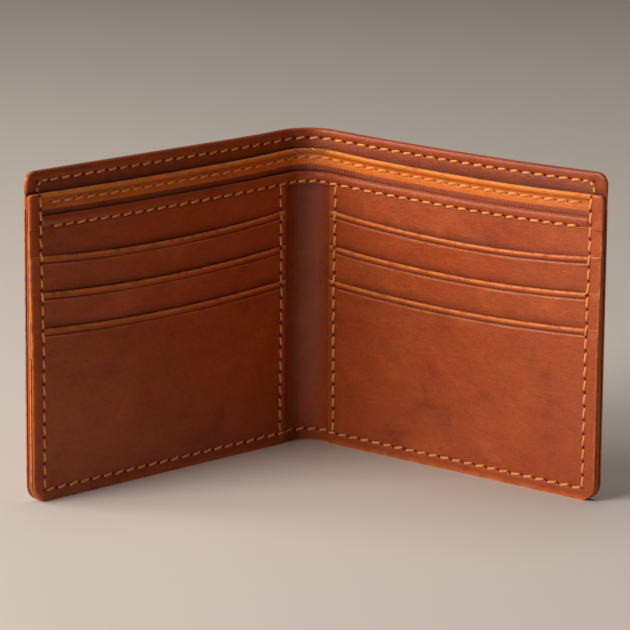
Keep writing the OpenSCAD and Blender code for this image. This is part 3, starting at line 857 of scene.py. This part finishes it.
class Finish:
    """A material's nodes, made and joined by short calls."""

    def __init__(self, name):
        self.material = bpy.data.materials.new(name)
        self.material.use_nodes = True
        self.tree = self.material.node_tree
        self.tree.nodes.clear()
        self.shader = self.node("ShaderNodeBsdfPrincipled")
        out = self.node("ShaderNodeOutputMaterial")
        self.join(self.shader.outputs["BSDF"], out.inputs["Surface"])

    def node(self, kind, **values):
        made = self.tree.nodes.new(kind)
        for key, value in values.items():
            setattr(made, key, value)
        return made

    def join(self, a, b):
        self.tree.links.new(a, b)

    def fill(self, socket, value):
        if isinstance(value, bpy.types.NodeSocket):
            self.join(value, socket)
        elif value is not None:
            socket.default_value = value

    def attribute(self, name, output="Vector"):
        return self.node("ShaderNodeAttribute", attribute_name=name).outputs[output]

    def math(self, operation, a, b=None, clamp=False):
        made = self.node("ShaderNodeMath", operation=operation, use_clamp=clamp)
        for socket, value in zip(made.inputs, (a, b)):
            self.fill(socket, value)
        return made.outputs[0]

    def distance(self, a, b):
        """The length of the diagonal of a and b."""
        squares = self.math("ADD", self.math("MULTIPLY", a, a), self.math("MULTIPLY", b, b))
        return self.math("SQRT", squares)

    def split(self, vector):
        made = self.node("ShaderNodeSeparateXYZ")
        self.join(vector, made.inputs[0])
        return made.outputs

    def stretch(self, vector, scale, turn=0.0):
        made = self.node("ShaderNodeMapping")
        self.join(vector, made.inputs["Vector"])
        made.inputs["Scale"].default_value = scale
        made.inputs["Rotation"].default_value = (0, 0, turn)
        return made.outputs[0]

    def noise(self, vector, size, detail, rough, warp=0.0):
        """Noise whose features are about size millimetres across."""
        made = self.node("ShaderNodeTexNoise")
        self.join(vector, made.inputs["Vector"])
        made.inputs["Scale"].default_value = 1 / (size * MM)
        made.inputs["Detail"].default_value = detail
        made.inputs["Roughness"].default_value = rough
        made.inputs["Distortion"].default_value = warp
        return made.outputs["Fac"]

    def cells(self, vector, size):
        """Distance to the nearest of scattered points about size millimetres apart."""
        made = self.node("ShaderNodeTexVoronoi")
        self.join(vector, made.inputs["Vector"])
        made.inputs["Scale"].default_value = 1 / (size * MM)
        return made.outputs["Distance"]

    def ramp(self, value, stops):
        """A colour for each value, from (place, colour) stops."""
        made = self.node("ShaderNodeValToRGB")
        self.join(value, made.inputs[0])
        bar = made.color_ramp
        bar.interpolation = "EASE"
        while len(bar.elements) < len(stops):
            bar.elements.new(0.5)
        for element, (place, colour) in zip(bar.elements, stops):
            element.position = place
            element.color = (*colour, 1)
        return made.outputs["Color"]

    def window(self, value, a, b):
        """0 at a, 1 at b, smooth in between."""
        made = self.node("ShaderNodeMapRange", interpolation_type="SMOOTHSTEP")
        self.join(value, made.inputs["Value"])
        made.inputs["From Min"].default_value = a
        made.inputs["From Max"].default_value = b
        return made.outputs["Result"]

    def mix(self, share, a, b):
        made = self.node("ShaderNodeMix", data_type="RGBA", clamp_factor=True)
        self.fill(made.inputs["Factor"], share)
        for socket, value in ((made.inputs[6], a), (made.inputs[7], b)):
            self.fill(socket, (*value, 1) if isinstance(value, tuple) else value)
        return made.outputs[2]

    def bump(self, height, distance, over=None):
        """A bump whose full height is distance millimetres."""
        made = self.node("ShaderNodeBump")
        made.inputs["Distance"].default_value = distance * MM
        made.inputs["Strength"].default_value = 1.0
        self.join(height, made.inputs["Height"])
        if over is not None:
            self.join(over, made.inputs["Normal"])
        return made.outputs["Normal"]


def needle_holes(f, radius):
    """1 inside each needle hole of the nearest seam, from the stitch attribute."""
    along, away, pitch = f.split(f.attribute("stitch"))
    turn = f.math("FRACT", f.math("ADD", along, 0.5))
    off = f.math("MULTIPLY", f.math("SUBTRACT", turn, 0.5), pitch)
    return f.window(f.distance(off, away), radius, radius * 0.45)


def pricks(f, height, pitch):
    """1 inside each fine prick of a level row at that height, pitch apart."""
    s, z, _ = f.split(f.attribute("flat"))
    turn = f.math("FRACT", f.math("MULTIPLY", s, 1 / (pitch * MM)))
    off = f.math("MULTIPLY", f.math("SUBTRACT", turn, 0.5), pitch)
    rise = f.math("MULTIPLY", f.math("SUBTRACT", z, height * MM), 1 / MM)
    return f.window(f.distance(off, rise), 0.34, 0.12)


def tinted(colour, *shares):
    """A colour with its red, green and blue each multiplied by a share."""
    return tuple(part * share for part, share in zip(colour, shares))


def leather(name, deep, body, bright, edge, seed, roughness=0.42, coat=0.12, grain=1.0,
            holes=0.40, prick=None):
    """Waxed leather: wide blotches, finer mottling and streaks between three browns, paler
    burnished edges with painted highlights on beads, lips and rolls, painted shade in gaps,
    grooves, pleats and needle holes, and a fine pebbled grain with creases."""
    f = Finish(name)
    shift = f.node("ShaderNodeVectorMath", operation="ADD")
    f.join(f.attribute("flat"), shift.inputs[0])
    shift.inputs[1].default_value = (seed * 0.37, seed * 0.21, seed * 0.11)
    at = shift.outputs[0]
    wide = f.noise(at, 26, 5, 0.6, 0.7)
    middle = f.noise(f.stretch(at, (0.8, 1.25, 1)), 7, 6, 0.62, 0.5)
    fine = f.noise(at, 1.6, 4, 0.65)
    cloud = f.math("ADD", f.math("MULTIPLY", wide, 0.62), f.math("MULTIPLY", middle, 0.38))
    tone = f.ramp(cloud, [(0.28, deep), (0.5, body), (0.76, bright)])
    tone = f.mix(f.window(fine, 0.42, 0.72), tone, f.mix(0.16, tone, (0.0, 0.0, 0.0)))
    ruddy = f.window(f.noise(at, 13, 3, 0.5, 1.2), 0.52, 0.72)
    tone = f.mix(f.math("MULTIPLY", ruddy, 0.2), tone, tinted(deep, 1.25, 0.75, 0.8))
    streak = f.noise(f.stretch(at, (0.12, 1.4, 1)), 1.1, 3, 0.5)
    tone = f.mix(f.math("MULTIPLY", f.window(streak, 0.45, 0.75), 0.16), tone, bright)
    # Paler where edges are burnished, and where highlights are painted on beads, lips and the binding's roll.
    paler_share = f.math("MULTIPLY", f.attribute("wear_and_highlight", "Fac"),
                  f.window(f.noise(at, 2.2, 3, 0.6), 0.2, 0.6), clamp=True)
    tone = f.mix(f.math("MULTIPLY", paler_share, 0.75), tone, edge)
    pebble = f.cells(at, 0.5)
    fine_grain = f.noise(at, 0.32, 2, 0.5)
    creases = f.noise(f.stretch(at, (1, 1.5, 1), 0.4), 3.0, 6, 0.7, 1.5)
    relief = f.bump(pebble, 0.05 * grain)
    relief = f.bump(fine_grain, 0.045 * grain, over=relief)
    relief = f.bump(creases, 0.12 * grain, over=relief)
    relief = f.bump(wide, 0.6 * grain, over=relief)
    if prick is not None:
        dot = pricks(f, *prick)
        tone = f.mix(f.math("MULTIPLY", dot, 0.85), tone, tinted(deep, 0.16, 0.12, 0.1))
    # Painted shade: the shade attribute darkens the tone towards this colour in gaps, grooves, pleats and the
    # spine's recess.
    dark = tinted(deep, 0.22, 0.16, 0.12)
    tone = f.mix(f.math("MULTIPLY", f.attribute("shade", "Fac"), 0.85), tone, dark)
    # Painted shade in each needle hole, and a lighter painted shade in the pit round it.
    if holes:
        hole = needle_holes(f, holes)
        ring = needle_holes(f, holes * 2.1)
        tone = f.mix(f.math("MULTIPLY", ring, 0.35), tone, tinted(deep, 0.5, 0.4, 0.3))
        tone = f.mix(f.math("MULTIPLY", hole, 0.9), tone, dark)
        relief = f.bump(f.math("SUBTRACT", 1.0, hole), 0.35, over=relief)
    f.join(tone, f.shader.inputs["Base Color"])
    f.join(relief, f.shader.inputs["Normal"])
    shine = f.math("ADD", roughness - 0.1, f.math("MULTIPLY", middle, 0.22))
    shine = f.math("SUBTRACT", shine, f.math("MULTIPLY", paler_share, 0.08))
    f.join(shine, f.shader.inputs["Roughness"])
    f.shader.inputs["Specular IOR Level"].default_value = 0.36
    f.shader.inputs["Coat Weight"].default_value = coat
    f.shader.inputs["Coat Roughness"].default_value = 0.28
    return f.material


def fabric(name, colour, dark, count):
    """Plain woven lining: two crossed waves of yarns, count to the millimetre, over a soft
    unevenness."""
    f = Finish(name)
    s, z, _ = f.split(f.attribute("flat"))
    turns = 2 * math.pi * count / MM
    warp = f.math("SINE", f.math("MULTIPLY", s, turns))
    weft = f.math("SINE", f.math("MULTIPLY", z, turns))
    over = f.math("MULTIPLY", warp, weft)
    weave = f.math("ADD", f.math("MULTIPLY", over, 0.5), 0.5)
    uneven = f.noise(f.attribute("flat"), 5, 4, 0.6)
    tone = f.mix(weave, dark, colour)
    tone = f.mix(f.window(uneven, 0.35, 0.7), tone, f.mix(0.4, tone, colour))
    f.join(tone, f.shader.inputs["Base Color"])
    f.join(f.bump(weave, 0.05), f.shader.inputs["Normal"])
    f.join(f.math("ADD", 0.72, f.math("MULTIPLY", uneven, 0.2)), f.shader.inputs["Roughness"])
    f.shader.inputs["Sheen Weight"].default_value = 0.25
    return f.material


def waxed_thread(name, light, dark):
    """Twisted waxed thread: slanting bands between a lit and a shaded tone along each stitch, painted highlights
    on the plies' crests and painted shade between them, with a bump, and each stitch a little different."""
    f = Finish(name)
    along, turn, dice = f.split(f.attribute("strand"))
    phase = f.math("ADD", f.math("MULTIPLY", along, 2 * math.pi / 0.62),
                   f.math("MULTIPLY", turn, 2 * math.pi))
    band = f.math("ADD", f.math("MULTIPLY", f.math("SINE", phase), 0.5), 0.5)
    # Painted highlight and painted shade: the bands follow the twist.
    tone = f.mix(f.window(band, 0.0, 0.55), dark, light)
    tone = f.mix(f.math("MULTIPLY", dice, 0.35), tone, dark)
    fuzz = f.noise(f.node("ShaderNodeTexCoord").outputs["Object"], 0.25, 3, 0.6)
    tone = f.mix(f.math("MULTIPLY", fuzz, 0.3), tone, light)
    f.join(tone, f.shader.inputs["Base Color"])
    f.join(f.bump(band, 0.08, over=f.bump(fuzz, 0.03)), f.shader.inputs["Normal"])
    f.join(f.math("ADD", 0.42, f.math("MULTIPLY", fuzz, 0.2)), f.shader.inputs["Roughness"])
    f.shader.inputs["Specular IOR Level"].default_value = 0.25
    return f.material


# Tan of burnished edges, and also the colour of the painted highlights on the pockets' beads and lips.
EDGE_TAN = (0.82, 0.24, 0.045)
cover_finish = leather("waxed_cover_leather", (0.19, 0.027, 0.004), (0.32, 0.052, 0.008),
                       (0.46, 0.095, 0.018), EDGE_TAN, 1)
pocket_finish = [leather(f"waxed_pocket_leather_{k + 1}", (0.23, 0.031, 0.0045),
                         (0.36, 0.058, 0.009), (0.50, 0.102, 0.018), EDGE_TAN, 3 + 2 * k)
                 for k in range(4)]
divider_finish = leather("red_brown_divider_leather", (0.28, 0.042, 0.010), (0.42, 0.080, 0.018),
                         (0.54, 0.12, 0.030), (0.6, 0.16, 0.04), 9, 0.45,
                         holes=0, prick=(BINDING[0][1] - 0.75, 1.2))
# Its edge tan is also the colour of the painted highlight on the binding's roll.
binding_finish = leather("light_tan_binding_leather", (0.46, 0.092, 0.008), (0.64, 0.150, 0.014),
                         (0.80, 0.21, 0.026), (0.95, 0.34, 0.06), 11, 0.36, coat=0.2,
                         grain=0.6, holes=0.28)
lining_finish = fabric("dark_brown_lining_fabric", (0.060, 0.022, 0.010),
                       (0.020, 0.008, 0.004), 2.2)
tail_finish = fabric("dark_brown_tail_fabric", (0.075, 0.028, 0.013), (0.025, 0.010, 0.005), 1.8)
thread_finish = waxed_thread("waxed_orange_tan_thread", (0.95, 0.41, 0.125), (0.56, 0.16, 0.034))

FINISHES = {"cover": cover_finish, "panel": pocket_finish[0], "backing": pocket_finish[0],
            "top_pocket": pocket_finish[1], "middle_pocket": pocket_finish[2],
            "bottom_pocket": pocket_finish[3], "divider": divider_finish,
            "binding": binding_finish, "lining": lining_finish, "top_tail": tail_finish,
            "middle_tail": tail_finish}
for key, piece in PIECES.items():
    piece.data.materials.append(FINISHES.get(key.split("_", 1)[1], thread_finish))

# ---------------------------------------------------------------- floor, light and camera

def plain(name, colour, rough):
    """A plain matt studio surface with a faint unevenness."""
    f = Finish(name)
    cloud = f.noise(f.node("ShaderNodeTexCoord").outputs["Object"], 300, 3, 0.5)
    f.join(f.mix(cloud, colour, tuple(c * 0.96 for c in colour)), f.shader.inputs["Base Color"])
    f.shader.inputs["Roughness"].default_value = rough
    return f.material


floor_mesh = bpy.data.meshes.new("floor")
floor_mesh.from_pydata([(x * 5, y * 5, 0) for x, y in ((-1, -1), (1, -1), (1, 1), (-1, 1))], [],
                       [(0, 1, 2, 3)])
floor = bpy.data.objects.new("floor", floor_mesh)
bpy.context.scene.collection.objects.link(floor)
floor_mesh.materials.append(plain("pale_floor", (0.66, 0.62, 0.57), 0.75))


def area_light(name, place, aim, size, power, colour):
    """A rectangular lamp at a place in metres, turned to face aim."""
    lamp = bpy.data.lights.new(name, "AREA")
    lamp.shape = "RECTANGLE"
    lamp.size, lamp.size_y = size
    lamp.energy, lamp.color = power, colour
    made = bpy.data.objects.new(name, lamp)
    bpy.context.scene.collection.objects.link(made)
    made.location = place
    made.rotation_euler = (Vector(aim) - Vector(place)).to_track_quat("-Z", "Y").to_euler()


area_light("key", (-0.95, -0.55, 0.60), (0.02, 0.0, 0.045), (0.75, 0.45), 14.4, (1.0, 0.93, 0.85))
area_light("overhead", (0.0, 0.3, 1.2), (0.0, 0.0, 0.05), (0.9, 0.6), 3.5, (1.0, 0.93, 0.91))
area_light("edge_light", (-0.95, 0.15, 0.55), (0.0, 0.0, 0.08), (0.5, 0.35), 5.2, (1.0, 0.90, 0.86))
area_light("front_fill", (0.3, -1.6, 0.7), (0.0, 0.0, 0.05), (1.2, 0.8), 0.4, (1.0, 0.9, 0.8))

world = bpy.data.worlds.new("studio")
bpy.context.scene.world = world
world.use_nodes = True
world.node_tree.nodes["Background"].inputs["Color"].default_value = (1.0, 0.9, 0.8, 1)
world.node_tree.nodes["Background"].inputs["Strength"].default_value = 0.06
bpy.context.scene.view_settings.view_transform = "Standard"

# Angles in degrees, distance and target in millimetres, and the lens in the camera's own unit.
CAMERA = {"azimuth": -2.222, "elevation": 12.504, "roll": 0.458, "distance": 1034.46,
          "target": (1.113, 0.0, 44.527), "lens": 212.11}


def set_camera(azimuth, elevation, roll, distance, target, lens):
    """A camera at distance from target, turned by azimuth round it and raised by elevation,
    then rolled about its own line of sight."""
    a, e, r = (math.radians(x) for x in (azimuth, elevation, roll))
    ahead = np.array([-math.sin(a) * math.cos(e), math.cos(a) * math.cos(e), -math.sin(e)])
    right = np.array([math.cos(a), math.sin(a), 0])
    up = np.cross(right, ahead)
    right, up = right * math.cos(r) + up * math.sin(r), up * math.cos(r) - right * math.sin(r)
    data = bpy.data.cameras.new("camera")
    data.lens, data.sensor_width = lens, 36.0
    data.clip_start, data.clip_end = 0.05, 20.0
    made = bpy.data.objects.new("camera", data)
    bpy.context.scene.collection.objects.link(made)
    place = (np.array(target) - ahead * distance) * MM
    turn = Matrix([list(x) for x in np.stack([right, up, -ahead], 1)]).to_4x4()
    made.matrix_world = Matrix.Translation(Vector(place)) @ turn
    bpy.context.scene.camera = made


set_camera(**CAMERA)
